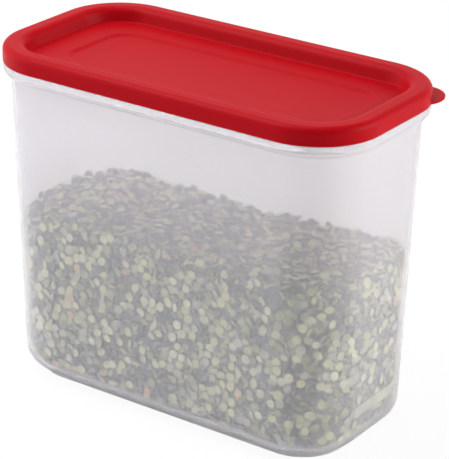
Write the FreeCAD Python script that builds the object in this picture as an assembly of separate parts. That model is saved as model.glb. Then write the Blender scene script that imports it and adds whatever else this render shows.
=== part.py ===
import FreeCAD, Part
import math
import os

from FreeCAD import Vector

# Dry food container: a clear one-piece box with a press-on lid and a corner pull tab, part filled with peas.
# Millimetres, +Z up. The origin is the centre of the foot, on the surface that the container stands on.
# X runs along the length, and the tab is on the +X, +Y corner.

# Overall sizes, taken over the lid
lid_length = 235.0
lid_width = 119.0
lid_corner_radius = 37.5
total_height = 197.5

# Lid: skirt, rolled rim, sunk top panel and shallow dish
lid_wall = 1.3
skirt_height = 9.9
skirt_edge_round = 0.3
rim_width = 11.5
rim_outer_round = 3.5
rim_inner_round = 4.5
recess_depth = 8.0
recess_lean = 2.8
recess_floor_round = 0.8
dish_inset = 29.0
dish_shift = 3.0
dish_corner_radius = 16.0
dish_depth = 1.2
dish_edge_width = 4.4
seal_rib_thickness = 1.0
seal_rib_depth = 4.0
seal_rib_round = 0.3

# Pull tab on the lid's corner, and the bend line that it flexes on
tab_reach = 7.5
tab_tip_radius = 14.0
tab_thickness = 1.5
tab_edge_round = 0.5
tab_root_width = 1.2
tab_direction_degrees = 41.0

# Container: wall, floor, foot and shoulder
wall_thickness = 1.6
wall_step = 4.6
wall_taper = 3.4
base_corner_radius = 35.7
bottom_edge_radius = 10.5
floor_thickness = 2.2
foot_height = 4.0
foot_inset = 9.0
foot_width = 4.0
foot_edge_round = 2.2
shoulder_inset = 0.3
shoulder_face_height = 2.8
shoulder_edge_round = 0.4
lip_thickness = 1.5
lip_bead = 0.5
lip_bead_half_height = 1.2
lip_bead_drop = 3.0
lip_flare_round = 1.0
lip_flare_low = 0.8
lip_flare_height = 5.0

# Bare raised panel low on the +X end wall
end_panel_width = 39.0
end_panel_height = 6.5
end_panel_middle = -1.5
end_panel_low = 23.5
end_panel_proud = 0.4

# Split peas: depth of the heap, the height of its rolling top in rows from front to back, left to right,
# and the lumps of its uneven surface, with the turns by which two waves place them
pea_depth = 98.0
pea_top_shares = (
    (0.96, 0.96, 1.01, 1.02, 1.02, 0.99),
    (0.95, 0.97, 1.00, 1.01, 1.01, 1.02),
    (0.94, 0.95, 0.95, 0.97, 0.99, 1.02),
    (0.93, 0.91, 0.89, 0.90, 0.93, 0.97),
)
pea_lump_spacing = 14.0
pea_lump_depth = 4.0
pea_lump_least_share = 0.25
pea_lump_turns = ((2.4, 1.7), (1.3, -2.9))

# Clearances, and how far a cutting shape runs past what it cuts
seat_clearance = 0.3
hinge_clearance = 0.3
pea_clearance = 0.3
cut_overrun = 2.0

# Levels and insets that follow from the sizes; insets are measured inward from the lid's outer face.
# The lip's round tip stands as high as it can while it clears the round inner corner of the lid's rim.
skirt_low = total_height - skirt_height
recess_floor = total_height - recess_depth
recess_floor_inset = rim_width + recess_lean
panel_joint_inset = (recess_floor_inset + dish_inset) / 2
ledge = skirt_low - seat_clearance
shoulder_turn = ledge - shoulder_face_height
shoulder_round = wall_step - shoulder_inset
wall_top = shoulder_turn - shoulder_round
lip_outer = lid_wall + seat_clearance + lip_bead
lip_inner = lip_outer + lip_thickness
lip_tip_room = rim_outer_round - lid_wall - seat_clearance - lip_thickness / 2
lip_tip_offset = max(rim_outer_round - lip_outer - lip_thickness / 2, 0)
lip_tip_rise = math.sqrt(lip_tip_room ** 2 - lip_tip_offset ** 2)
lip_top = total_height - rim_outer_round + lip_tip_rise + lip_thickness / 2
wall_base_inset = wall_step + wall_taper
inner_floor = foot_height + floor_thickness
tab_root_end = lid_corner_radius + tab_root_width
tab_bend_line = tab_root_end + hinge_clearance + tab_thickness / 2


def rounded_rectangle(half_length, half_width, radius, height):
    """Level outline of a rectangle with round corners, which starts at the middle of the front."""
    points = []
    for turn, side_x, side_y in ((270, 1, -1), (0, 1, 1), (90, -1, 1), (180, -1, -1)):
        centre = Vector(side_x * (half_length - radius), side_y * (half_width - radius), height)
        for angle in (turn, turn + 45, turn + 90):
            spoke = Vector(math.cos(math.radians(angle)), math.sin(math.radians(angle)), 0)
            points.append(centre + spoke * radius)
    middle_front = Vector(0, -half_width, height)
    edges = []
    last = middle_front
    for corner in range(4):
        start, halfway, end = points[3 * corner:3 * corner + 3]
        edges.append(Part.LineSegment(last, start).toShape())
        edges.append(Part.Arc(start, halfway, end).toShape())
        last = end
    edges.append(Part.LineSegment(last, middle_front).toShape())
    return Part.Wire(edges)


def lid_outline(inset, height):
    """The lid's outline moved inward, with its corners on the same centres."""
    return rounded_rectangle(lid_length / 2 - inset, lid_width / 2 - inset, lid_corner_radius - inset, height)


def rounded_profile(corners):
    """Closed section from (inset, height, radius) corners, drawn at the middle of the lid's front."""
    places = [Vector(0, inset - lid_width / 2, height) for inset, height, radius in corners]
    edges = []
    starts = []
    ends = []
    arcs = []
    for index, (inset, height, radius) in enumerate(corners):
        corner = places[index]
        before = places[index - 1] - corner
        after = places[(index + 1) % len(places)] - corner
        before.normalize()
        after.normalize()
        half_angle = before.getAngle(after) / 2
        reach = radius / math.tan(half_angle)
        starts.append(corner + before * reach)
        ends.append(corner + after * reach)
        inward = before + after
        inward.normalize()
        arcs.append(corner + inward * (radius / math.sin(half_angle) - radius))
    for index, (inset, height, radius) in enumerate(corners):
        if radius > 0:
            edges.append(Part.Arc(starts[index], arcs[index], ends[index]).toShape())
        following = starts[(index + 1) % len(corners)]
        if not ends[index].isEqual(following, Part.Precision.confusion()):
            edges.append(Part.LineSegment(ends[index], following).toShape())
    return Part.Wire(edges)


def ring(corners):
    """Solid ring with the given section, carried once round the lid's outline."""
    sweep = Part.BRepOffsetAPI.MakePipeShell(lid_outline(0, 0))
    sweep.setBiNormalMode(Vector(0, 0, 1))
    sweep.add(rounded_profile(corners))
    sweep.build()
    sweep.makeSolid()
    return sweep.shape()


def between(lower_outline, upper_outline):
    """Straight-sided solid between two level outlines."""
    return Part.makeLoft([lower_outline, upper_outline], True, True)


def round_lowest_edges(solid, radius):
    """Rounds every edge that lies in the solid's lowest plane."""
    low = solid.BoundBox.ZMin
    lowest = [edge for edge in solid.Edges if edge.BoundBox.ZMax - low < Part.Precision.confusion()]
    return solid.makeFillet(radius, lowest)


def wall_outline(extra_inset, height):
    """The tapered wall's outer outline at a height below the shoulder, moved inward."""
    drop_share = (wall_top - height) / wall_top
    inset = wall_step + wall_taper * drop_share + extra_inset
    top_radius = lid_corner_radius - wall_step
    radius = top_radius + (base_corner_radius - top_radius) * drop_share - extra_inset
    return rounded_rectangle(lid_length / 2 - inset, lid_width / 2 - inset, radius, height)


def tapered_box(extra_inset, low, high):
    """The container's tapered box, moved inward, between two heights below the shoulder."""
    return between(wall_outline(extra_inset, low), wall_outline(extra_inset, high))


def shoulder_ring():
    """The shoulder that the skirt sits on, and the lip with its snap bead, above the wall."""
    bead_middle = lip_top - lip_bead_drop
    tip_round = lip_thickness / 2
    wall_inner = wall_step + wall_thickness
    flare_low = wall_top + lip_flare_low
    return ring((
        (shoulder_inset, wall_top, shoulder_round),
        (shoulder_inset, ledge, shoulder_edge_round),
        (lip_outer, ledge, 0),
        (lip_outer, bead_middle - lip_bead_half_height, 0),
        (lip_outer - lip_bead, bead_middle, lip_bead),
        (lip_outer, bead_middle + lip_bead_half_height, 0),
        (lip_outer, lip_top, tip_round),
        (lip_inner, lip_top, tip_round),
        (lip_inner, flare_low + lip_flare_height, lip_flare_round),
        (wall_inner, flare_low, lip_flare_round),
        (wall_inner, wall_top, 0),
    ))


def foot_ring():
    """The foot under the floor, which also drops into the lid of a container below."""
    outer_inset = wall_base_inset + foot_inset
    outer_radius = base_corner_radius - foot_inset
    root = foot_height + floor_thickness / 2
    outlines = []
    for inset, radius in ((outer_inset, outer_radius), (outer_inset + foot_width, outer_radius - foot_width)):
        outlines.append(rounded_rectangle(lid_length / 2 - inset, lid_width / 2 - inset, radius, 0))
    outer = round_lowest_edges(Part.Face(outlines[0]).extrude(Vector(0, 0, root)), foot_edge_round)
    return outer.cut(Part.Face(outlines[1]).extrude(Vector(0, 0, root)))


def end_panel():
    """The bare raised panel, which follows the slope of the +X end wall."""
    skin = tapered_box(-end_panel_proud, end_panel_low, end_panel_low + end_panel_height)
    depth = wall_thickness / 2 + wall_taper + end_panel_proud
    inner_x = lid_length / 2 - wall_base_inset - wall_thickness / 2
    corner = Vector(inner_x, end_panel_middle - end_panel_width / 2, end_panel_low)
    return skin.common(Part.makeBox(depth, end_panel_width, end_panel_height, corner))


def container():
    """The clear box in one piece: foot, floor, wall, shoulder and lip."""
    shell = round_lowest_edges(tapered_box(0, foot_height, wall_top), bottom_edge_radius)
    shell = shell.fuse([foot_ring(), end_panel()])
    hollow = tapered_box(wall_thickness, inner_floor, wall_top)
    hollow = round_lowest_edges(hollow, bottom_edge_radius - wall_thickness)
    return shell.cut(hollow).fuse(shoulder_ring()).removeSplitter()


def pea_hollow(column, row):
    """How deep the heap's surface lies under its crests at a place in the pattern of lumps."""
    waves = [math.sin(column * along + row * across) for along, across in pea_lump_turns]
    share = (1 + sum(waves) / len(waves)) / 2
    return pea_lump_depth * max(share, pea_lump_least_share)


def pea_outline(height, row, count):
    """Uneven level outline of the heap at a height, which follows the wall and the round bottom edge."""
    inset = wall_thickness + pea_clearance
    bottom_round = bottom_edge_radius - inset
    rise = min(max(height - inner_floor - pea_clearance, 0), bottom_round)
    inset += bottom_round - math.sqrt(rise * (2 * bottom_round - rise))
    crests = wall_outline(inset, height).discretize(count + 1)
    hollows = wall_outline(inset + pea_lump_depth, height).discretize(count + 1)
    points = []
    for column in range(count):
        inward = hollows[column] - crests[column]
        points.append(crests[column] + inward * (pea_hollow(column, row) / pea_lump_depth))
    curve = Part.BSplineCurve()
    steps = [column / count for column in range(count + 1)]
    curve.interpolate(Points=points, PeriodicFlag=True, Parameters=steps)
    return Part.Wire(curve.toShape())


def pea_top():
    """The heap's rolling top with its lumps, as a surface over the whole lid."""
    grid = []
    for row, shares in enumerate(pea_top_shares):
        y = lid_width * (row / (len(pea_top_shares) - 1) - 1 / 2)
        line = []
        for column, share in enumerate(shares):
            x = lid_length * (column / (len(shares) - 1) - 1 / 2)
            line.append(Vector(x, y, inner_floor + pea_depth * share))
        grid.append(line)
    rolling = Part.BSplineSurface()
    rolling.interpolate(grid)
    rows = 2 * round(lid_width / pea_lump_spacing)
    columns = 2 * round(lid_length / pea_lump_spacing)
    lumps = []
    for row in range(rows + 1):
        line = [rolling.value(row / rows, column / columns) for column in range(columns + 1)]
        lumps.append([point - Vector(0, 0, pea_hollow(column, row)) for column, point in enumerate(line)])
    uneven = Part.BSplineSurface()
    uneven.interpolate(lumps)
    return uneven


def split_pea_fill():
    """The heap of peas, with its uneven sides and top, just clear of the wall and floor."""
    low = inner_floor + pea_clearance
    count = 2 * round(wall_outline(wall_thickness, low).Length / pea_lump_spacing)
    rows = 2 * round((wall_top - low) / pea_lump_spacing)
    heights = [low + (wall_top - low) * row / rows for row in range(rows + 1)]
    heap = Part.makeLoft([pea_outline(height, row, count) for row, height in enumerate(heights)], True, True)
    air = pea_top().toShape().extrude(Vector(0, 0, total_height))
    return heap.cut(air)


def lid_rim():
    """Skirt, rolled rim, seal rib, leaning recess wall and the edge of the sunk panel."""
    lean_offset = lid_wall * math.hypot(recess_lean, recess_depth) / recess_depth
    lean_per_height = recess_lean / recess_depth
    lean_under = lean_per_height * lid_wall - lean_offset
    under_rim = total_height - lid_wall
    under_floor = recess_floor - lid_wall
    rib_outer = lip_inner + seat_clearance
    rib_inner = rib_outer + seal_rib_thickness
    rib_low = under_rim - seal_rib_depth
    return ring((
        (0, skirt_low, skirt_edge_round),
        (0, total_height, rim_outer_round),
        (rim_width, total_height, rim_inner_round),
        (recess_floor_inset, recess_floor, recess_floor_round),
        (panel_joint_inset, recess_floor, 0),
        (panel_joint_inset, under_floor, 0),
        (recess_floor_inset + lean_under, under_floor, recess_floor_round + lid_wall),
        (rim_width + lean_under, under_rim, rim_inner_round - lid_wall),
        (rib_inner, under_rim, skirt_edge_round),
        (rib_inner, rib_low, seal_rib_round),
        (rib_outer, rib_low, seal_rib_round),
        (rib_outer, under_rim, 0),
        (lid_wall, under_rim, rim_outer_round - lid_wall),
        (lid_wall, skirt_low, skirt_edge_round),
    ))


def dish_solid(top):
    """The dish's flat-bottomed hollow, with its sloping edge, below the given height."""
    half_length = lid_length / 2 - dish_inset
    half_width = lid_width / 2 - dish_inset
    rim = rounded_rectangle(half_length, half_width, dish_corner_radius, top)
    radius = dish_corner_radius - dish_edge_width
    bed_half_length = half_length - dish_edge_width
    bed = rounded_rectangle(bed_half_length, half_width - dish_edge_width, radius, top - dish_depth)
    dish = between(bed, rim)
    dish.translate(Vector(dish_shift, 0, 0))
    return dish


def lid_panel():
    """The sunk top panel, one wall thick, with its dish."""
    plate = Part.Face(lid_outline(panel_joint_inset, recess_floor - lid_wall)).extrude(Vector(0, 0, lid_wall))
    return plate.fuse(dish_solid(recess_floor - lid_wall)).cut(dish_solid(recess_floor))


def tab_frame():
    """Placement at the lid's corner centre, with its X axis along the tab and Z up."""
    centre = Vector(lid_length / 2 - lid_corner_radius, lid_width / 2 - lid_corner_radius, skirt_low)
    return FreeCAD.Placement(centre, FreeCAD.Rotation(Vector(0, 0, 1), tab_direction_degrees))


def tab_disc():
    """The round plate that the tab is cut from, at the corner centre with X along the tab."""
    middle = Vector(lid_corner_radius + tab_reach - tab_tip_radius, 0, 0)
    disc = Part.makeCylinder(tab_tip_radius, tab_thickness, middle)
    round_edges = [edge for edge in disc.Edges if len(edge.Vertexes) == 1]
    return disc.makeFillet(tab_edge_round, round_edges)


def beyond(distance):
    """Block that holds all of the tab past a distance from the corner centre."""
    side = tab_tip_radius + cut_overrun
    corner = Vector(distance, -side, -cut_overrun)
    return Part.makeBox(lid_corner_radius + tab_reach, 2 * side, tab_thickness + 2 * cut_overrun, corner)


def tab_root():
    """The fixed part of the tab, between the skirt and the bend line."""
    inside = Part.makeCylinder(lid_corner_radius - lid_wall / 2, tab_thickness)
    root = tab_disc().cut([inside, beyond(tab_root_end)])
    root.Placement = tab_frame()
    return root


def pull_tab():
    """The part of the tab that flexes, with its rounded inner edge on the bend line."""
    disc = tab_disc()
    start = Vector(tab_bend_line, -tab_tip_radius, tab_thickness / 2)
    knuckle = Part.makeCylinder(tab_thickness / 2, 2 * tab_tip_radius, start, Vector(0, 1, 0)).common(disc)
    flap = disc.common(beyond(tab_bend_line)).fuse(knuckle).removeSplitter()
    flap.Placement = tab_frame()
    return flap


def lid():
    """The flexible lid in one piece, with the root of its tab."""
    return lid_rim().fuse([lid_panel(), tab_root()]).removeSplitter()


os.makedirs("parts", exist_ok=True)
for build in (container, split_pea_fill, lid, pull_tab):
    shape = build()
    print(build.__name__, len(shape.Solids), "solid, valid", shape.isValid(), round(shape.Volume), "mm3")
    shape.exportStep("parts/" + build.__name__ + ".step")
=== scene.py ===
import math

import bmesh
import bpy
import numpy as np
from bpy.props import FloatProperty, FloatVectorProperty, IntProperty, PointerProperty
from mathutils import Matrix, Vector
from mathutils.bvhtree import BVHTree


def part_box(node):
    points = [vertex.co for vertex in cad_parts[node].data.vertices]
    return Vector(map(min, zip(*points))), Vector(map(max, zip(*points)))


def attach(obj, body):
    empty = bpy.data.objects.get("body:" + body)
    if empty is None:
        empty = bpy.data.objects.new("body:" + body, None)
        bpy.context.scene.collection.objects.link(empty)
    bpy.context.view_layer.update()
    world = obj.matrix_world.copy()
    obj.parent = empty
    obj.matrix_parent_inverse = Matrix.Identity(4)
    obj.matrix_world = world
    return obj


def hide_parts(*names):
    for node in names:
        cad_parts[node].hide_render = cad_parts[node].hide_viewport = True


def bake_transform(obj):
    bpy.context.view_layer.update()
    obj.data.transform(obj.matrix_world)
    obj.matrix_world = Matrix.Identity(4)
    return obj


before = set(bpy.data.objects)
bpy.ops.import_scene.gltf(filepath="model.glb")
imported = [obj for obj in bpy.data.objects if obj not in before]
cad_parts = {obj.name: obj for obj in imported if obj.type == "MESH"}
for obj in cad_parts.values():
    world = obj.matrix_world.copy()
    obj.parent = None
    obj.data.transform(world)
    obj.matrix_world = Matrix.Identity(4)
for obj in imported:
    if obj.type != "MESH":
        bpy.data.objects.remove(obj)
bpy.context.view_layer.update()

bl_info = {
    "name": "Dry Food Container",
    "version": (1, 0, 0),
    "blender": (4, 5, 0),
    "location": "3D View > Sidebar > Container",
    "description": "Builds a clear kitchen container with its press-on lid, pull tab and split peas",
    "category": "Add Mesh",
}

lid_low, lid_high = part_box("lid")
MM = 0.001


def linear(code):
    """Linear colour of an sRGB hex code."""
    shares = [int(code[place:place + 2], 16) / 255 for place in (0, 2, 4)]
    return [share / 12.92 if share <= 0.04045 else ((share + 0.055) / 1.055) ** 2.4 for share in shares]


def length(name, description, millimetres):
    return FloatProperty(name=name, description=description, default=millimetres * MM, unit="LENGTH", precision=4)


def angle(name, description, degrees):
    return FloatProperty(name=name, description=description, default=math.radians(degrees), subtype="ANGLE")


def share(name, description, default):
    return FloatProperty(name=name, description=description, default=default, min=0, max=1, subtype="FACTOR")


def colour(name, description, code):
    return FloatVectorProperty(
        name=name, description=description, default=linear(code), subtype="COLOR", min=0, max=1)


class LidSizes(bpy.types.PropertyGroup):
    length: length("Length", "Outside length over the skirt", -2 * lid_low.x / MM)
    width: length("Width", "Outside width over the skirt", -2 * lid_low.y / MM)
    top: length("Top", "Height of the rim above the table", lid_high.z / MM)
    corner: length("Corner radius", "Radius of the skirt's corners", 37.5)
    wall: length("Wall", "Thickness of the moulding", 1.3)
    skirt: length("Skirt", "Height of the skirt", 9.9)
    rim: length("Rim", "Width of the flat rim", 11.5)
    rim_outer_round: length("Outer rim round", "Radius of the rim's outer edge", 3.5)
    rim_inner_round: length("Inner rim round", "Radius of the rim's inner edge", 4.5)
    recess: length("Recess", "Depth of the sunk panel below the rim", 8)
    recess_lean: length("Recess lean", "How far the recess wall leans inward over its depth", 2.8)
    recess_round: length("Recess round", "Radius at the foot of the recess wall", 0.8)
    edge_round: length("Edge round", "Radius of the thin lower edges", 0.3)
    dish_inset: length("Dish inset", "From the skirt to the middle of the dish's edge", 31.2)
    dish_radius: length("Dish radius", "Corner radius of the dish at that line", 13.8)
    dish_edge: length("Dish edge", "Width of the dish's soft sloping edge", 4.4)
    dish_depth: length("Dish depth", "Depth of the dish below the sunk panel", 1.2)
    dish_shift: length("Dish shift", "How far the dish lies towards the tab's end", 3)
    rib_inset: length("Rib inset", "From the skirt's outer face to the seal rib", 3.9)
    rib_wall: length("Rib wall", "Thickness of the seal rib", 1)
    rib_depth: length("Rib depth", "How far the seal rib hangs down", 4)


class TabSizes(bpy.types.PropertyGroup):
    reach: length("Reach", "How far the tab stands out of the skirt's corner", 7.5)
    tip_radius: length("Tip radius", "Radius of the tab's round outline", 14)
    direction: angle("Direction", "Turn of the tab round the lid's corner from the end", 41)
    thickness: length("Thickness", "Thickness of the tab", 1.5)
    edge_round: length("Edge round", "Radius of the tab's edges", 0.5)
    bend_start: length("Bend start", "From the skirt to where the tab starts to bend", 1.2)
    bend_end: length("Bend end", "From the skirt to where the bend ends", 3.3)


class BoxSizes(bpy.types.PropertyGroup):
    wall: length("Wall", "Thickness of the wall", 1.6)
    step: length("Step", "How far the wall stands inside the lid's skirt at the top", 4.6)
    taper: length("Taper", "How much further in the wall is at the bottom", 3.4)
    base_corner: length("Base corner", "Corner radius at the bottom", 35.7)
    bottom_round: length("Bottom round", "Radius of the bottom edge", 10.5)
    floor: length("Floor", "Thickness of the floor", 2.2)
    foot_height: length("Foot height", "Height of the foot under the floor", 4)
    foot_inset: length("Foot inset", "From the wall's base to the foot", 9)
    foot_width: length("Foot width", "Width of the foot", 4)
    foot_round: length("Foot round", "Radius of the foot's outer edge", 2.2)
    shoulder_inset: length("Shoulder inset", "How far the shoulder stands inside the skirt", 0.3)
    shoulder_face: length("Shoulder face", "Height of the shoulder's upright face", 2.8)
    shoulder_round: length("Shoulder edge", "Radius of the shoulder's upper edge", 0.4)
    gap: length("Gap", "Gap between the lid and the box where they sit together", 0.3)
    lip_wall: length("Lip", "Thickness of the lip inside the skirt", 1.5)
    lip_inset: length("Lip inset", "From the skirt's outer face to the lip", 2.1)
    lip_top: length("Lip top", "How far the lip ends below the rim", 1.8)
    bead: length("Bead", "How far the bead on the lip stands out", 0.5)
    bead_half: length("Bead half height", "Half the height of the bead", 1.2)
    bead_drop: length("Bead drop", "From the lip's top to the bead", 3)
    flare_low: length("Flare low", "From the wall's top to the foot of the inner flare", 0.8)
    flare_height: length("Flare height", "Height of the inner flare under the lip", 5)
    panel_width: length("Panel width", "Width of the bare raised panel on the end wall", 39)
    panel_height: length("Panel height", "Height of the raised panel", 6.5)
    panel_middle: length("Panel middle", "Place of the panel's middle across the end wall", -1.5)
    panel_low: length("Panel low", "Height of the panel's lower edge", 23.5)
    panel_proud: length("Panel proud", "How far the panel stands out of the wall", 0.4)


class PeaSizes(bpy.types.PropertyGroup):
    diameter: length("Diameter", "Usual width of a split pea", 5.6)
    dome: share("Dome", "Height of a split pea as a share of its radius", 0.86)
    spacing: length("Spacing", "Least distance between neighbours in a layer", 4.5)
    layer: length("Layer", "Depth of one layer of peas", 2.3)
    clearance: length("Clearance", "Gap between the peas and the wall", 0.15)
    # The dark inside is painted shade, standing in for the deeper peas in shadow.
    core_depth: length("Core depth", "From the heap's surface to its dark inside", 7)
    layers: IntProperty(name="Layers", description="Layers of peas under the heap's surface", default=3, min=1)
    seed: IntProperty(name="Seed", description="Start of the random order of the peas", default=7)


class Finishes(bpy.types.PropertyGroup):
    box: colour("Box", "Milky clear polypropylene", "F9F8F5")
    box_clear: share("Box clearness", "Share of the light that goes through the box", 0.87)
    box_rough: share("Box roughness", "Roughness of the box's moulded surface", 0.04)
    box_haze_tone: colour("Box haze tone", "Bluish light that the box's haze scatters", "F4F1FF")
    box_haze: share("Box haze", "Share of the surface's light that its fine haze scatters wide", 0.3)
    lid: colour("Lid", "Red polyethylene", "A80412")
    lid_rough: share("Lid roughness", "Roughness of the lid's satin surface", 0.42)
    lid_shine: share("Lid shine", "Level of the lid's mirrored light", 0.05)
    olive_pea: colour("Olive pea", "Most of the split peas", "E4E4A8")
    pale_pea: colour("Pale pea", "The yellower split peas", "F4EFC4")
    grey_pea: colour("Grey pea", "The dull grey-green split peas", "C2C6AC")
    deep_pea: colour("Deep pea", "The deep green split peas", "A8B07A")
    buff_pea: colour("Buff pea", "The few orange split peas", "E6C09C")
    # Painted shade: this slate tint darkens and blues each pea's round side, standing in for the shade in the gaps
    # between the cut faces.
    pea_round: colour("Pea round side", "Slate tint of a pea's round side beside its cut face", "7080A0")
    # Painted shade: the dark bluish colour of the sheet inside the heap, in place of the shaded peas deeper in.
    heap_core: colour("Heap core", "The dark inside of the heap", "222E3E")
    floor: colour("Floor", "The pale floor", "F4F4F4")
    floor_white: share("Floor white", "White that the floor shows where it is seen straight", 0.93)
    floor_mirrored: share("Floor mirrored", "White that the floor shows mirrored or through the box", 0.25)


class StageSizes(bpy.types.PropertyGroup):
    azimuth: angle("Azimuth", "Camera's turn round the container from its front", 34.613)
    elevation: angle("Elevation", "Camera's height above the level", 23.56)
    roll: angle("Roll", "Camera's roll", 1.032)
    distance: length("Distance", "From the camera to the container's middle", 1211.3)
    aside: length("Aside", "How far the camera stands to the right of the container's middle", 7.72)
    above: length("Above", "How far the camera stands above the container's middle", -0.416)
    lens: length("Lens", "Focal length of the camera", 171.2)
    floor: length("Floor", "Side of the floor", 8000)


def rounded(corners):
    """Section line through (inset, height, radius) corners, with an arc at each that has a radius."""
    longest_chord = 1.2 * MM
    least_steps = 4
    line = []
    places = [Vector(corner[:2]) for corner in corners]
    for index, corner in enumerate(places):
        radius = corners[index][2]
        if radius == 0:
            line.append(corner)
            continue
        before = (places[index - 1] - corner).normalized()
        after = (places[index + 1] - corner).normalized()
        half_angle = before.angle(after) / 2
        centre = corner + (before + after).normalized() * radius / math.sin(half_angle)
        start = corner + before * radius / math.tan(half_angle) - centre
        end = corner + after * radius / math.tan(half_angle) - centre
        turn = start.angle_signed(end)
        steps = max(least_steps, math.ceil(abs(turn) * radius / longest_chord))
        for step in range(steps + 1):
            line.append(centre + Matrix.Rotation(-turn * step / steps, 2) @ start)
    return line


def guarded(line):
    """The same line with points close to the ends of each long straight run, so that arcs don't shade into it."""
    guard = 0.4 * MM
    same = 1e-7
    kept = [line[0]]
    for start, end in zip(line, line[1:]):
        run = (end - start).length
        if run < same:
            continue
        if run > 4 * guard:
            kept += [start.lerp(end, guard / run), end.lerp(start, guard / run)]
        kept.append(end)
    return kept


def level_ring(half_length, half_width, radius, height):
    """Points round a level rounded rectangle, with the same count for every size."""
    corner_steps = 24
    long_shares = (0.008, 0.1, 0.2, 0.3, 0.4, 0.5, 0.6, 0.7, 0.8, 0.9, 0.992)
    short_shares = (0.025, 0.2, 0.4, 0.6, 0.8, 0.975)
    arcs = []
    for quarter, side_x, side_y in ((3, 1, -1), (0, 1, 1), (1, -1, 1), (2, -1, -1)):
        centre = Vector((side_x * (half_length - radius), side_y * (half_width - radius), height))
        turns = [math.pi / 2 * (quarter + step / corner_steps) for step in range(corner_steps + 1)]
        arcs.append([centre + Vector((math.cos(turn), math.sin(turn), 0)) * radius for turn in turns])
    points = []
    for index, arc in enumerate(arcs):
        following = arcs[(index + 1) % len(arcs)][0]
        shares = long_shares if index % 2 else short_shares
        points += arc + [arc[-1].lerp(following, part) for part in shares]
    return points


def lid_ring(sizes, inset, height):
    """Ring at an inset from the lid's outer face, with its corners on the skirt's centres."""
    radius = max(sizes.corner - inset, sizes.rim_inner_round)
    return level_ring(sizes.length / 2 - inset, sizes.width / 2 - inset, radius, height)


def wall_place(lid, box, height):
    """Inset and corner radius of the box's outer wall at a height."""
    wall_top = lid.top - lid.skirt - box.gap - box.shoulder_face - box.step + box.shoulder_inset
    drop = max((wall_top - height) / wall_top, 0)
    top_radius = lid.corner - box.step
    return box.step + box.taper * drop, top_radius + (box.base_corner - top_radius) * drop


def box_ring(lid, box, inset, height):
    """Ring at an inset from the lid's outer face, with its corners on the tapering wall's centres."""
    wall_inset, wall_radius = wall_place(lid, box, height)
    radius = max(wall_radius - inset + wall_inset, lid.rim_inner_round)
    return level_ring(lid.length / 2 - inset, lid.width / 2 - inset, radius, height)


def skin(rings):
    """Closed mesh over level rings, from a flat face in the first to a flat face in the last."""
    mesh = bmesh.new()
    rows = [[mesh.verts.new(point) for point in ring] for ring in rings]
    for lower, upper in zip(rows, rows[1:]):
        for index in range(len(lower)):
            mesh.faces.new((lower[index - 1], lower[index], upper[index], upper[index - 1]))
    mesh.faces.new(rows[0])
    mesh.faces.new(rows[-1])
    bmesh.ops.recalc_face_normals(mesh, faces=mesh.faces)
    return mesh


def finished(name, mesh, materials, sharp_degrees=40):
    """Object made from a mesh, smooth up to an angle between its faces, with its materials and slot."""
    if isinstance(mesh, bmesh.types.BMesh):
        built = bpy.data.meshes.new(name)
        mesh.to_mesh(built)
        mesh.free()
        mesh = built
    mesh.shade_smooth()
    mesh.set_sharp_from_angle(angle=math.radians(sharp_degrees))
    for material in materials:
        mesh.materials.append(material)
    made = bpy.data.objects.new(name, mesh)
    bpy.context.scene.collection.objects.link(made)
    return made


def per_metre(millimetres):
    """Texture scale that gives features of a real size."""
    return 1 / (millimetres * MM)


def add_node(tree, kind, sockets, **settings):
    """Adds a node, sets its settings, and gives each named socket a value or a link from another socket."""
    node = tree.nodes.new(kind)
    for name, value in settings.items():
        setattr(node, name, value)
    for name, value in sockets.items():
        if isinstance(value, bpy.types.NodeSocket):
            tree.links.new(value, node.inputs[name])
        else:
            node.inputs[name].default_value = value
    return node


def new_material(name):
    """Empty node material with its output, as (material, tree, surface socket)."""
    material = bpy.data.materials.new(name)
    material.use_nodes = True
    tree = material.node_tree
    tree.nodes.clear()
    return material, tree, tree.nodes.new("ShaderNodeOutputMaterial").inputs["Surface"]


def clear_polypropylene(finishes):
    """Moulded clear polypropylene."""
    # Thin and see-through, but milky: what lies against it is clear, and what lies behind it is hazy.
    # The mould leaves a faint broad ripple and no grain.
    material, tree, surface = new_material("moulded_clear_polypropylene")
    place = add_node(tree, "ShaderNodeTexCoord", {})
    ripple = add_node(tree, "ShaderNodeTexNoise", {
        "Vector": place.outputs["Object"], "Scale": per_metre(22), "Detail": 1.0})
    bump = add_node(tree, "ShaderNodeBump", {
        "Height": ripple.outputs["Fac"], "Strength": 0.25, "Distance": 0.5 * MM})
    # The haze comes from crystals far too fine to see, so a share of all points, picked at random, scatters wide.
    crystals = add_node(tree, "ShaderNodeTexWhiteNoise", {"Vector": place.outputs["Object"]})
    clear_part = 1 - finishes.box_haze
    hazy = add_node(tree, "ShaderNodeMath", {
        0: crystals.outputs["Value"], 1: clear_part}, operation="GREATER_THAN")
    rough = add_node(tree, "ShaderNodeMapRange", {
        "Value": hazy.outputs["Value"], "To Min": finishes.box_rough, "To Max": 0.8})
    tone = add_node(tree, "ShaderNodeMix", {
        0: hazy.outputs["Value"], 6: (*finishes.box, 1), 7: (*finishes.box_haze_tone, 1)}, data_type="RGBA")
    shader = add_node(tree, "ShaderNodeBsdfPrincipled", {
        "Base Color": tone.outputs[2], "Roughness": rough.outputs["Result"], "IOR": 1.49,
        "Transmission Weight": finishes.box_clear, "Normal": bump.outputs["Normal"]})
    tree.links.new(shader.outputs["BSDF"], surface)
    return material


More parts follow.
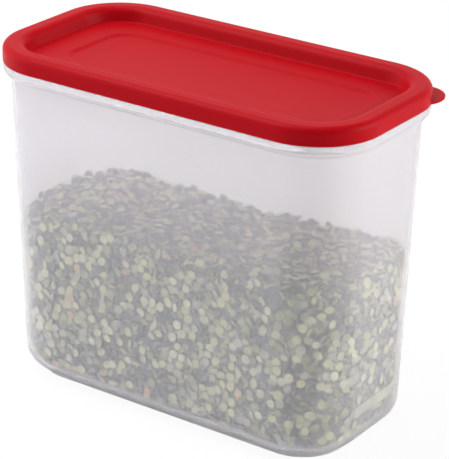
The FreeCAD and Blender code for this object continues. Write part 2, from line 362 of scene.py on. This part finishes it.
def frosted_polypropylene(finishes):
    """The same polypropylene with the mould's blasted patch, for the raised end panel."""
    # The fine grit scatters light, so the panel looks whiter than the wall round it.
    material, tree, surface = new_material("frosted_polypropylene")
    place = add_node(tree, "ShaderNodeTexCoord", {})
    # Real grit is about 0.1 mm, drawn at 0.7 mm so that it shows.
    grit = add_node(tree, "ShaderNodeTexNoise", {
        "Vector": place.outputs["Object"], "Scale": per_metre(0.7), "Detail": 2.0})
    bump = add_node(tree, "ShaderNodeBump", {
        "Height": grit.outputs["Fac"], "Strength": 0.4, "Distance": 0.1 * MM})
    shader = add_node(tree, "ShaderNodeBsdfPrincipled", {
        "Base Color": (*finishes.box, 1), "Roughness": 0.5, "IOR": 1.49,
        "Transmission Weight": finishes.box_clear * 0.95, "Normal": bump.outputs["Normal"]})
    tree.links.new(shader.outputs["BSDF"], surface)
    return material


def red_polyethylene(finishes):
    """Moulded red polyethylene."""
    # Soft and waxy: a satin surface with wide, soft highlights, a very fine grain and slight unevenness of colour.
    material, tree, surface = new_material("moulded_red_polyethylene")
    place = add_node(tree, "ShaderNodeTexCoord", {})
    # The real grain is about 0.2 mm, drawn at 0.9 mm so that it shows.
    grain = add_node(tree, "ShaderNodeTexNoise", {
        "Vector": place.outputs["Object"], "Scale": per_metre(0.9), "Detail": 2.0})
    bump = add_node(tree, "ShaderNodeBump", {
        "Height": grain.outputs["Fac"], "Strength": 0.12, "Distance": 0.15 * MM})
    flow = add_node(tree, "ShaderNodeTexNoise", {
        "Vector": place.outputs["Object"], "Scale": per_metre(30), "Detail": 3.0})
    deep = [part * 0.93 for part in finishes.lid]
    tint = add_node(tree, "ShaderNodeMix", {
        0: flow.outputs["Fac"], 6: (*deep, 1), 7: (*finishes.lid, 1)}, data_type="RGBA")
    shader = add_node(tree, "ShaderNodeBsdfPrincipled", {
        "Base Color": tint.outputs[2], "Roughness": finishes.lid_rough, "IOR": 1.51,
        "Specular IOR Level": finishes.lid_shine, "Subsurface Weight": 0.25, "Subsurface Radius": (1, 0.2, 0.15),
        "Subsurface Scale": 2 * MM, "Normal": bump.outputs["Normal"]})
    tree.links.new(shader.outputs["BSDF"], surface)
    return material


def dry_pea(name, tone):
    """Dry split pea of one tone."""
    # Dull and powdery, with pale dust and slightly uneven colour over each pea.
    material, tree, surface = new_material(name)
    place = add_node(tree, "ShaderNodeTexCoord", {})
    mottle = add_node(tree, "ShaderNodeTexNoise", {
        "Vector": place.outputs["Object"], "Scale": per_metre(3.5), "Detail": 3.0})
    ramp = add_node(tree, "ShaderNodeValToRGB", {"Fac": mottle.outputs["Fac"]})
    low, high = ramp.color_ramp.elements
    low.position, high.position = 0.3, 0.72
    low.color = (*[part * 0.72 for part in tone], 1)
    high.color = (*[min(part * 1.18, 1) for part in tone], 1)
    shader = add_node(tree, "ShaderNodeBsdfPrincipled", {
        "Base Color": ramp.outputs["Color"], "Roughness": 0.75, "Specular IOR Level": 0.3})
    tree.links.new(shader.outputs["BSDF"], surface)
    return material


def background_rays(tree, straight, indirect):
    """Share of white that the background shows straight, and mirrored or through clear plastic."""
    path = add_node(tree, "ShaderNodeLightPath", {})
    seen = add_node(tree, "ShaderNodeMath", {
        0: path.outputs["Is Camera Ray"], 1: straight}, operation="MULTIPLY")
    either = add_node(tree, "ShaderNodeMath", {
        0: path.outputs["Is Glossy Ray"], 1: path.outputs["Is Transmission Ray"]}, operation="MAXIMUM")
    mirrored = add_node(tree, "ShaderNodeMath", {
        0: either.outputs["Value"], 1: indirect}, operation="MULTIPLY")
    every = add_node(tree, "ShaderNodeMath", {
        0: seen.outputs["Value"], 1: mirrored.outputs["Value"]}, operation="MAXIMUM")
    return every.outputs["Value"]


def pale_floor(finishes):
    """Seamless pale paper."""
    # It is nearly white where it is seen straight. Mirrored or through the box it keeps more of the shadow.
    material, tree, surface = new_material("seamless_paper")
    part = background_rays(tree, finishes.floor_white, finishes.floor_mirrored)
    paper = add_node(tree, "ShaderNodeBsdfDiffuse", {"Color": (*finishes.floor, 1)})
    white = add_node(tree, "ShaderNodeEmission", {"Color": (1, 1, 1, 1), "Strength": 1.0})
    mixed = add_node(tree, "ShaderNodeMixShader", {
        "Fac": part, 1: paper.outputs["BSDF"], 2: white.outputs["Emission"]})
    tree.links.new(mixed.outputs["Shader"], surface)
    return material


def raise_panel(mesh, box):
    """Raises the bare panel on the box's +X end wall, and gives it the second material."""
    low, high = box.panel_low, box.panel_low + box.panel_height
    left = box.panel_middle - box.panel_width / 2
    right = box.panel_middle + box.panel_width / 2

    def band():
        found = []
        for face in mesh.faces:
            middle = face.calc_center_median()
            if low < middle.z < high and middle.x > 0 and face.normal.x > 0:
                found.append(face)
        return found

    for side, facing in ((left, (0, -1, 0)), (right, (0, 1, 0))):
        cut = band()
        parts = list({part for face in cut for part in (*face.verts, *face.edges, face)})
        bmesh.ops.bisect_plane(mesh, geom=parts, plane_co=(0, side, 0), plane_no=facing)
    mesh.normal_update()
    chosen = [face for face in band() if left < face.calc_center_median().y < right]
    moves = {}
    for face in chosen:
        for vertex in face.verts:
            place = tuple(vertex.co)
            moves[place] = moves.get(place, Vector()) + face.normal
    raised = bmesh.ops.extrude_face_region(mesh, geom=chosen)["geom"]
    for part in raised:
        if isinstance(part, bmesh.types.BMVert):
            part.co += moves[tuple(part.co)].normalized() * box.panel_proud
    for part in raised:
        if isinstance(part, bmesh.types.BMFace):
            part.material_index = 1
    bmesh.ops.delete(mesh, geom=[face for face in chosen if face.is_valid], context="FACES_ONLY")


class CONTAINER_OT_box(bpy.types.Operator):
    """Builds the clear box with its foot, shoulder, lip and bare end panel"""

    bl_idname = "container.box"
    bl_label = "Clear Box"

    def execute(self, context):
        lid, box = context.scene.lid_sizes, context.scene.box_sizes
        ledge = lid.top - lid.skirt - box.gap
        turn = ledge - box.shoulder_face
        shoulder_curve = box.step - box.shoulder_inset
        wall_top = turn - shoulder_curve
        inner_floor = box.foot_height + box.floor
        foot_outer = box.step + box.taper + box.foot_inset
        foot_inner = foot_outer + box.foot_width
        middle = lid.width * 0.4
        base_inset = wall_place(lid, box, box.foot_height)[0]
        inner_base = wall_place(lid, box, inner_floor)[0] + box.wall
        panel_high = box.panel_low + box.panel_height
        under = rounded([
            (middle, box.foot_height, 0),
            (foot_inner, box.foot_height, 0),
            (foot_inner, 0, lid.edge_round),
            (foot_outer, 0, box.foot_round),
            (foot_outer, box.foot_height, 0),
        ])
        side = [
            point for point in rounded([
                (middle, box.foot_height, 0),
                (base_inset, box.foot_height, box.bottom_round),
                (box.step, wall_top, 0),
            ])
            if point.x < foot_outer
        ]
        under[-1].y = side[0].y
        panel_rows = [Vector((wall_place(lid, box, height)[0], height)) for height in (box.panel_low, panel_high)]
        side[-1:-1] = panel_rows
        lip_top = lid.top - box.lip_top
        lip_inner = box.lip_inset + box.lip_wall
        bead = lip_top - box.bead_drop
        tip = box.lip_wall / 2
        flare = wall_top + box.flare_low
        wall_inner = box.step + box.wall
        upper = rounded([
            (box.step, wall_top, 0),
            (box.shoulder_inset, wall_top, shoulder_curve),
            (box.shoulder_inset, ledge, box.shoulder_round),
            (box.lip_inset, ledge, 0),
            (box.lip_inset, bead - box.bead_half, 0),
            (box.lip_inset - box.bead, bead, box.bead),
            (box.lip_inset, bead + box.bead_half, 0),
            (box.lip_inset, lip_top, tip),
            (lip_inner, lip_top, tip),
            (lip_inner, flare + box.flare_height, 2 * box.bead),
            (wall_inner, flare, 2 * box.bead),
            (wall_inner, wall_top, 0),
            (inner_base, inner_floor, box.bottom_round - box.wall),
            (middle, inner_floor, 0),
        ])
        line = guarded(under + side + upper)
        mesh = skin([box_ring(lid, box, *point) for point in line])
        raise_panel(mesh, box)
        finishes = context.scene.container_finishes
        materials = (clear_polypropylene(finishes), frosted_polypropylene(finishes))
        made = finished("clear_box", mesh, materials)
        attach(made, "container")
        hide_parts("container")
        return {"FINISHED"}


class CONTAINER_OT_lid(bpy.types.Operator):
    """Builds the red lid with its skirt, rim, sunk panel, dish and seal rib"""

    bl_idname = "container.lid"
    bl_label = "Red Lid"

    def execute(self, context):
        lid = context.scene.lid_sizes
        skirt_low = lid.top - lid.skirt
        panel = lid.top - lid.recess
        under_rim = lid.top - lid.wall
        under_panel = panel - lid.wall
        panel_inset = lid.rim + lid.recess_lean
        lean = lid.recess_lean / lid.recess
        lean_under = lean * lid.wall - lid.wall * math.hypot(1, lean)
        joint = (panel_inset + lid.dish_inset - lid.dish_edge / 2) / 2
        rib_inner = lid.rib_inset + lid.rib_wall
        over = rounded([
            (joint, panel, 0),
            (panel_inset, panel, lid.recess_round),
            (lid.rim, lid.top, lid.rim_inner_round),
            (0, lid.top, lid.rim_outer_round),
            (0, skirt_low, lid.edge_round),
            (lid.wall, skirt_low, lid.edge_round),
            (lid.wall, under_rim, lid.rim_outer_round - lid.wall),
            (lid.rib_inset, under_rim, 0),
            (lid.rib_inset, under_rim - lid.rib_depth, lid.edge_round),
            (rib_inner, under_rim - lid.rib_depth, lid.edge_round),
            (rib_inner, under_rim, lid.edge_round),
            (lid.rim + lean_under, under_rim, lid.rim_inner_round - lid.wall),
            (panel_inset + lean_under, under_panel, lid.recess_round + lid.wall),
            (joint, under_panel, 0),
        ])
        rings = [lid_ring(lid, *point) for point in guarded(over)]
        dish_steps = 10
        dish = []
        for step in range(dish_steps + 1):
            part = step / dish_steps
            fall = part * part * (3 - 2 * part)
            inward = lid.dish_edge * (part - 0.5)
            inset = lid.dish_inset + inward
            dish.append((inset, lid.dish_radius - inward, -lid.dish_depth * fall))
        for inset, radius, fall in dish:
            for place, height in ((0, panel), (len(rings) + 1, under_panel)):
                ring = level_ring(lid.length / 2 - inset, lid.width / 2 - inset, radius, height + fall)
                rings.insert(place, [point + Vector((lid.dish_shift, 0, 0)) for point in ring])
        material = red_polyethylene(context.scene.container_finishes)
        made = finished("red_lid", skin(rings), (material,))
        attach(made, "lid")
        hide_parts("lid")
        return {"FINISHED"}


class CONTAINER_OT_tab(bpy.types.Operator):
    """Builds the pull tab on the lid's corner"""

    bl_idname = "container.tab"
    bl_label = "Pull Tab"

    def execute(self, context):
        lid, tab = context.scene.lid_sizes, context.scene.tab_sizes
        root = lid.corner - lid.wall / 2
        middle = lid.corner + tab.reach - tab.tip_radius
        meet_x = (root ** 2 - tab.tip_radius ** 2 + middle ** 2) / (2 * middle)
        meet_y = math.sqrt(root ** 2 - meet_x ** 2)
        root_turn = math.atan2(meet_y, meet_x)
        tip_turn = math.atan2(meet_y, meet_x - middle)
        skirt_low = lid.top - lid.skirt
        corner = Vector((lid.length / 2 - lid.corner, lid.width / 2 - lid.corner, skirt_low))
        outward = Matrix.Rotation(tab.direction, 4, "Z")
        columns, flat_steps, arc_steps, end = 48, 12, 4, 0.97
        mesh = bmesh.new()
        rows = []
        for column in range(columns + 1):
            across = end * (2 * column / columns - 1)
            inner = Vector((math.cos(across * root_turn), math.sin(across * root_turn), 0)) * root
            outer = Vector((math.cos(across * tip_turn), math.sin(across * tip_turn), 0)) * tab.tip_radius
            outer.x += middle
            reach = (outer - inner).length
            edge = min(tab.edge_round, reach / 2)
            section = [((reach - edge) * step / flat_steps, 0) for step in range(flat_steps)]
            for arc, height in ((0, edge), (1, tab.thickness - edge)):
                for step in range(arc_steps + 1):
                    turn = math.pi / 2 * (arc - 1 + step / arc_steps)
                    section.append((reach - edge + edge * math.cos(turn), height + edge * math.sin(turn)))
            section += [((reach - edge) * (1 - step / flat_steps), tab.thickness)
                        for step in range(1, flat_steps + 1)]
            row = []
            for along, height in section:
                point = inner.lerp(outer, along / reach)
                point.z = height
                row.append(mesh.verts.new(corner + outward @ point))
            rows.append(row)
        for one, two in zip(rows, rows[1:]):
            for index in range(len(one)):
                mesh.faces.new((one[index - 1], one[index], two[index], two[index - 1]))
        mesh.faces.new(rows[0])
        mesh.faces.new(rows[-1])
        bmesh.ops.recalc_face_normals(mesh, faces=mesh.faces)
        material = bpy.data.materials["moulded_red_polyethylene"]
        made = finished("pull_tab_skin", mesh, (material,))
        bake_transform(made)
        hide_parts("pull_tab")
        return {"FINISHED"}


def heap_skin(context, depth):
    """Closed mesh of the heap that lies a depth inside the box's wall and floor and under the heap's top."""
    lid, box, peas = context.scene.lid_sizes, context.scene.box_sizes, context.scene.pea_sizes
    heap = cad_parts["split_pea_fill"].data
    places, faces = [vertex.co for vertex in heap.vertices], [face.vertices for face in heap.polygons]
    search = BVHTree.FromPolygons(places, faces)
    low = box.foot_height + box.floor + peas.clearance + depth
    bottom = max(box.bottom_round - box.wall - depth, lid.edge_round)
    brink = wall_place(lid, box, low + bottom)[0] + box.wall + peas.clearance + depth
    brink_room = 6 * MM

    def dropped(point):
        over = Vector((point.x, point.y, lid.top))
        return Vector((point.x, point.y, search.ray_cast(over, Vector((0, 0, -1)))[0].z - depth))

    rings = [box_ring(lid, box, inset, low) for inset in (lid.width * 0.4, brink + bottom)]
    bottom_steps, side_steps, top_step = 4, 12, 4 * MM
    for step in range(1, bottom_steps + 1):
        turn = math.pi / 2 * step / bottom_steps
        inset, rise = bottom * (1 - math.sin(turn)), bottom * (1 - math.cos(turn))
        rings.append(box_ring(lid, box, brink + inset, low + rise))
    edge = [dropped(point) for point in box_ring(lid, box, brink + brink_room, low)]
    foot = rings[-1]
    for step in range(1, side_steps + 1):
        part = step / side_steps
        ring = []
        for start, end in zip(foot, edge):
            height = start.z + (end.z - start.z) * part
            drift = (wall_place(lid, box, start.z)[0] - wall_place(lid, box, height)[0]) / start.xy.length
            ring.append(Vector((start.x * (1 + drift), start.y * (1 + drift), height)))
        rings.append(ring)
    rings.append(edge)
    inset = brink + brink_room + top_step
    while inset < lid.width * 0.46:
        rings.append([dropped(point) for point in box_ring(lid, box, inset, low)])
        inset += top_step
    return skin(rings)


def heap_triangles(mesh):
    """Corners of a mesh's triangles."""
    bmesh.ops.triangulate(mesh, faces=mesh.faces)
    corners = np.array([[vertex.co for vertex in face.verts] for face in mesh.faces])
    mesh.free()
    return corners


def scattered(triangles, spacing, random):
    """Random points over triangles, none nearer to another than the spacing, with their outward normals."""
    tries_per_place = 14
    crosses = np.cross(triangles[:, 1] - triangles[:, 0], triangles[:, 2] - triangles[:, 0])
    doubles = np.linalg.norm(crosses, axis=1)
    count = int(tries_per_place * doubles.sum() / 2 / spacing ** 2)
    chosen = random.choice(len(triangles), count, p=doubles / doubles.sum())
    first, second = np.sqrt(random.random(count)), random.random(count)
    weights = np.stack([1 - first, first * (1 - second), first * second], 1)
    places = (triangles[chosen] * weights[:, :, None]).sum(1)
    normals = crosses[chosen] / doubles[chosen, None]
    cells = {}
    kept = []
    for index, place in enumerate(places.tolist()):
        x, y, z = place
        cell = (int(x // spacing), int(y // spacing), int(z // spacing))
        crowded = False
        for near_x in (cell[0] - 1, cell[0], cell[0] + 1):
            for near_y in (cell[1] - 1, cell[1], cell[1] + 1):
                for near_z in (cell[2] - 1, cell[2], cell[2] + 1):
                    for other in cells.get((near_x, near_y, near_z), ()):
                        apart = (other[0] - x) ** 2 + (other[1] - y) ** 2 + (other[2] - z) ** 2
                        if apart < spacing ** 2:
                            crowded = True
                            break
        if not crowded:
            cells.setdefault(cell, []).append(place)
            kept.append(index)
    return places[kept], normals[kept]


def pea_shape(dome):
    """Split pea of unit radius with its flat face down, as places and faces; the flat face comes first."""
    sides = 10
    rings = ((0.88, 0), (1, 0.14), (0.78, 0.62))
    places = []
    for radius, height in rings:
        for side in range(sides):
            turn = 2 * math.pi * side / sides
            places.append((radius * math.cos(turn), radius * math.sin(turn), height * dome))
    places.append((0, 0, dome))
    faces = [tuple(range(sides))[::-1]]
    for ring in range(len(rings) - 1):
        for side in range(sides):
            lower, upper = ring * sides, (ring + 1) * sides
            after = (side + 1) % sides
            faces.append((lower + side, lower + after, upper + after, upper + side))
    last = (len(rings) - 1) * sides
    for side in range(sides):
        faces.append((last + side, last + (side + 1) % sides, len(places) - 1))
    return np.array(places), faces


def turned(normals, random):
    """Turns for peas under a surface: a share lie flat face out, a share dome out and the rest on edge."""
    count = len(normals)
    kind = random.random(count)
    tilt = np.where(kind < 0.66, math.pi - abs(random.normal(0, 0.35, count)), 0)
    tilt = np.where((kind >= 0.66) & (kind < 0.76), abs(random.normal(0, 0.5, count)), tilt)
    tilt = np.where(kind >= 0.76, math.pi / 2 + random.normal(0, 0.4, count), tilt)
    aside = np.cross(normals, random.normal(size=(count, 3)))
    aside /= np.linalg.norm(aside, axis=1)[:, None]
    axis = normals * np.cos(tilt)[:, None] + aside * np.sin(tilt)[:, None]
    across = np.cross(axis, random.normal(size=(count, 3)))
    across /= np.linalg.norm(across, axis=1)[:, None]
    return np.stack([across, np.cross(axis, across), axis], 2)


def kept_inside(corners, lid, box, clearance):
    """Moves each pea level inward and up until it clears the wall, the round bottom edge and the floor."""
    inner_floor = box.foot_height + box.floor
    bottom = box.bottom_round - box.wall
    for _ in range(4):
        lift = np.maximum(inner_floor + clearance - corners[:, :, 2].min(1), 0)
        corners[:, :, 2] += lift[:, None]
        x, y, z = np.moveaxis(corners, 2, 0)
        wall_top = lid.top - lid.skirt - box.gap - box.shoulder_face - box.step + box.shoulder_inset
        drop = (wall_top - z) / wall_top
        top_radius = lid.corner - box.step
        below = np.clip(bottom - (z - inner_floor), 0, bottom)
        more = box.wall + clearance + bottom - np.sqrt(bottom ** 2 - below ** 2)
        inset = box.step + box.taper * drop + more
        radius = np.maximum(top_radius + (box.base_corner - top_radius) * drop - more, 2 * MM)
        past_x = abs(x) - (lid.length / 2 - inset - radius)
        past_y = abs(y) - (lid.width / 2 - inset - radius)
        outside = np.hypot(np.maximum(past_x, 0), np.maximum(past_y, 0)) - radius
        outside = np.where((past_x < 0) | (past_y < 0), np.maximum(past_x, past_y) - radius, outside)
        worst = outside.argmax(1)
        rows = np.arange(len(corners))
        push = np.maximum(outside[rows, worst], 0)
        way_x = np.where((past_x > past_y) | (past_x > 0), np.maximum(past_x, 0), 0)[rows, worst]
        way_y = np.where((past_y > past_x) | (past_y > 0), np.maximum(past_y, 0), 0)[rows, worst]
        size = np.maximum(np.hypot(way_x, way_y), 1e-9)
        corners[:, :, 0] -= (push * way_x / size * np.sign(x[rows, worst]))[:, None]
        corners[:, :, 1] -= (push * way_y / size * np.sign(y[rows, worst]))[:, None]
    return corners


def pea_map(mesh, shape, faces, count):
    """Map with a cell for each pea's flat side and one for its dome."""
    across = math.ceil(math.sqrt(2 * count))
    fill = 0.45
    sides = len(faces[0])
    offsets, flats = [], []
    for index, face in enumerate(faces):
        for corner in face:
            offsets.append(shape[corner, :2] * fill)
            flats.append(0 if index <= sides else 1)
    cells = 2 * np.arange(count)[:, None] + np.array(flats)[None, :]
    middles = np.stack([cells % across, cells // across], 2) + 0.5
    places = (middles + np.array(offsets)[None, :, :]) / across
    layer = mesh.uv_layers.new(name="OFBake")
    layer.data.foreach_set("uv", places.astype(np.float32).ravel())


class CONTAINER_OT_peas(bpy.types.Operator):
    """Fills the box with split peas, packed under the surface of the heap"""

    bl_idname = "container.peas"
    bl_label = "Split Peas"

    def execute(self, context):
        lid, box = context.scene.lid_sizes, context.scene.box_sizes
        peas, finishes = context.scene.pea_sizes, context.scene.container_finishes
        random = np.random.default_rng(peas.seed)
        triangles = heap_triangles(heap_skin(context, 0))
        shape, faces = pea_shape(peas.dome)
        groups = []
        for layer in range(peas.layers):
            places, normals = scattered(triangles, peas.spacing, random)
            if layer:
                shown = normals[:, 2] > -0.8
                places, normals = places[shown], normals[shown]
            turns = turned(normals, random)
            radii = peas.diameter / 2 * random.normal(1, 0.06, len(places)).clip(0.8, 1.12)
            stretch = random.normal(1, 0.05, (len(places), 3)).clip(0.86, 1.14) * radii[:, None]
            corners = np.einsum("pij,pvj->pvi", turns, shape[None, :, :] * stretch[:, None, :])
            reach = np.einsum("pvi,pi->pv", corners, normals).max(1)
            loose = random.uniform(0, 0.7 * MM, len(places))
            upward = normals[:, 2] > 0.5
            loose = np.where(upward, random.uniform(-1.6 * MM, 1.2 * MM, len(places)), loose)
            depth = reach + loose + layer * peas.layer
            corners += (places - normals * depth[:, None])[:, None, :]
            groups.append(kept_inside(corners, lid, box, peas.clearance))
        corners = np.concatenate(groups)
        tones = (
            ("olive_split_peas", finishes.olive_pea, 0.40),
            ("pale_split_peas", finishes.pale_pea, 0.24),
            ("grey_split_peas", finishes.grey_pea, 0.17),
            ("deep_split_peas", finishes.deep_pea, 0.16),
            ("buff_split_peas", finishes.buff_pea, 0.03),
        )
        tone_of = random.choice(len(tones), len(corners), p=[tone[2] for tone in tones])
        for index, (name, tone, _) in enumerate(tones):
            chosen = corners[tone_of == index]
            mesh = bpy.data.meshes.new(name)
            starts = np.arange(len(chosen)) * len(shape)
            all_faces = [tuple(corner + start for corner in face) for start in starts.tolist() for face in faces]
            mesh.from_pydata(chosen.reshape(-1, 3).tolist(), [], all_faces)
            pea_map(mesh, shape, faces, len(chosen))
            rounds = [0 if face < 1 else 1 for face in range(len(faces))]
            mesh.polygons.foreach_set("material_index", rounds * len(chosen))
            # Painted shade: each pea's round side gets its tone darkened and turned slate-blue, for the shade
            # between the cut faces.
            outside = [bright * tint for bright, tint in zip(tone, finishes.pea_round)]
            materials = dry_pea(name + "_cut_face", tone), dry_pea(name + "_shaded_round_side", outside)
            made = finished(name, mesh, materials, sharp_degrees=35)
            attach(made, "container")
            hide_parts("split_pea_fill")
        # Painted shade: a dark sheet a little inside the heap's surface, standing in for the deeper peas in
        # shadow.
        material = dry_pea("heap_shade", finishes.heap_core)
        made = finished("heap_core", heap_skin(context, peas.core_depth), (material,))
        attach(made, "container")
        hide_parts("split_pea_fill")
        return {"FINISHED"}


class CONTAINER_OT_stage(bpy.types.Operator):
    """Sets the pale floor, the soft lamps, the white surroundings and the camera"""

    bl_idname = "container.stage"
    bl_label = "Stage"

    def execute(self, context):
        scene, stage, lid = context.scene, context.scene.stage_sizes, context.scene.lid_sizes
        mesh = bmesh.new()
        bmesh.ops.create_grid(mesh, x_segments=1, y_segments=1, size=stage.floor / 2)
        floor_mesh = bpy.data.meshes.new("pale_floor")
        mesh.to_mesh(floor_mesh)
        mesh.free()
        floor_mesh.materials.append(pale_floor(scene.container_finishes))
        floor = bpy.data.objects.new("pale_floor", floor_mesh)
        scene.collection.objects.link(floor)

        middle = Vector((0, 0, lid.top / 2))
        lamps = (
            ("lamp_right", (1.55, 0.75, 0.55), 1.2, 33, (1, 0.98, 0.94)),
            ("lamp_left", (-1.7, -1.0, 0.5), 2.0, 33, (0.93, 0.96, 1)),
            ("lamp_top", (-0.5, 0.1, 1.5), 0.8, 8, (1, 0.99, 0.97)),
            ("lamp_edge", (-0.78, -0.42, 1.35), 0.6, 12, (1, 0.98, 0.98)),
        )
        for name, place, side, power, tone in lamps:
            lamp = bpy.data.lights.new(name, "AREA")
            lamp.shape, lamp.size, lamp.energy, lamp.color = "SQUARE", side, power, tone
            made = bpy.data.objects.new(name, lamp)
            made.location = place
            made.rotation_euler = (Vector(place) - middle).to_track_quat("Z", "Y").to_euler()
            made.visible_camera = False
            scene.collection.objects.link(made)

        world = bpy.data.worlds.new("white_surroundings")
        world.use_nodes = True
        tree = world.node_tree
        tree.nodes.clear()
        light = add_node(tree, "ShaderNodeBackground", {"Color": (1, 1, 1, 1), "Strength": 0.31})
        white = add_node(tree, "ShaderNodeBackground", {"Color": (1, 1, 1, 1), "Strength": 1.0})
        mixed = add_node(tree, "ShaderNodeMixShader", {
            "Fac": background_rays(tree, 1, 1),
            1: light.outputs["Background"], 2: white.outputs["Background"]})
        add_node(tree, "ShaderNodeOutputWorld", {"Surface": mixed.outputs["Shader"]})
        scene.world = world
        scene.view_settings.view_transform = "Standard"

        azimuth, elevation = stage.azimuth, stage.elevation
        back = Vector((math.sin(azimuth) * math.cos(elevation), -math.cos(azimuth) * math.cos(elevation),
                       math.sin(elevation)))
        right = Vector((math.cos(azimuth), math.sin(azimuth), 0))
        up = back.cross(right)
        rolled_right = right * math.cos(stage.roll) + up * math.sin(stage.roll)
        rolled_up = up * math.cos(stage.roll) - right * math.sin(stage.roll)
        camera = bpy.data.cameras.new("camera")
        camera.lens, camera.sensor_width, camera.sensor_fit = stage.lens / MM, 36, "AUTO"
        camera.clip_start, camera.clip_end = 0.05, 50
        made = bpy.data.objects.new("camera", camera)
        turn = Matrix((rolled_right, rolled_up, back)).transposed().to_4x4()
        turn.translation = middle + back * stage.distance + right * stage.aside + up * stage.above
        made.matrix_world = turn
        scene.collection.objects.link(made)
        scene.camera = made
        return {"FINISHED"}


class VIEW3D_PT_container(bpy.types.Panel):
    """Lists the container's pieces and their sizes"""

    bl_label = "Dry Food Container"
    bl_idname = "VIEW3D_PT_container"
    bl_space_type = "VIEW_3D"
    bl_region_type = "UI"
    bl_category = "Container"

    def draw(self, context):
        for piece in PIECES:
            self.layout.operator(piece.bl_idname)
        for name, group in GROUPS.items():
            column = self.layout.column(heading=group.__name__)
            for size in group.__annotations__:
                column.prop(getattr(context.scene, name), size)


PIECES = (CONTAINER_OT_box, CONTAINER_OT_lid, CONTAINER_OT_tab, CONTAINER_OT_peas, CONTAINER_OT_stage)
GROUPS = {
    "lid_sizes": LidSizes,
    "tab_sizes": TabSizes,
    "box_sizes": BoxSizes,
    "pea_sizes": PeaSizes,
    "container_finishes": Finishes,
    "stage_sizes": StageSizes,
}


def register():
    for group in GROUPS.values():
        bpy.utils.register_class(group)
    for piece in PIECES:
        bpy.utils.register_class(piece)
    bpy.utils.register_class(VIEW3D_PT_container)
    for name, group in GROUPS.items():
        setattr(bpy.types.Scene, name, PointerProperty(type=group))


def unregister():
    for name in GROUPS:
        delattr(bpy.types.Scene, name)
    bpy.utils.unregister_class(VIEW3D_PT_container)
    for piece in reversed(PIECES):
        bpy.utils.unregister_class(piece)
    for group in reversed(GROUPS.values()):
        bpy.utils.unregister_class(group)


def main():
    """Builds every piece in order."""
    register()
    bpy.ops.container.box()
    bpy.ops.container.lid()
    bpy.ops.container.tab()
    bpy.ops.container.peas()
    bpy.ops.container.stage()


if __name__ == "__main__":
    main()
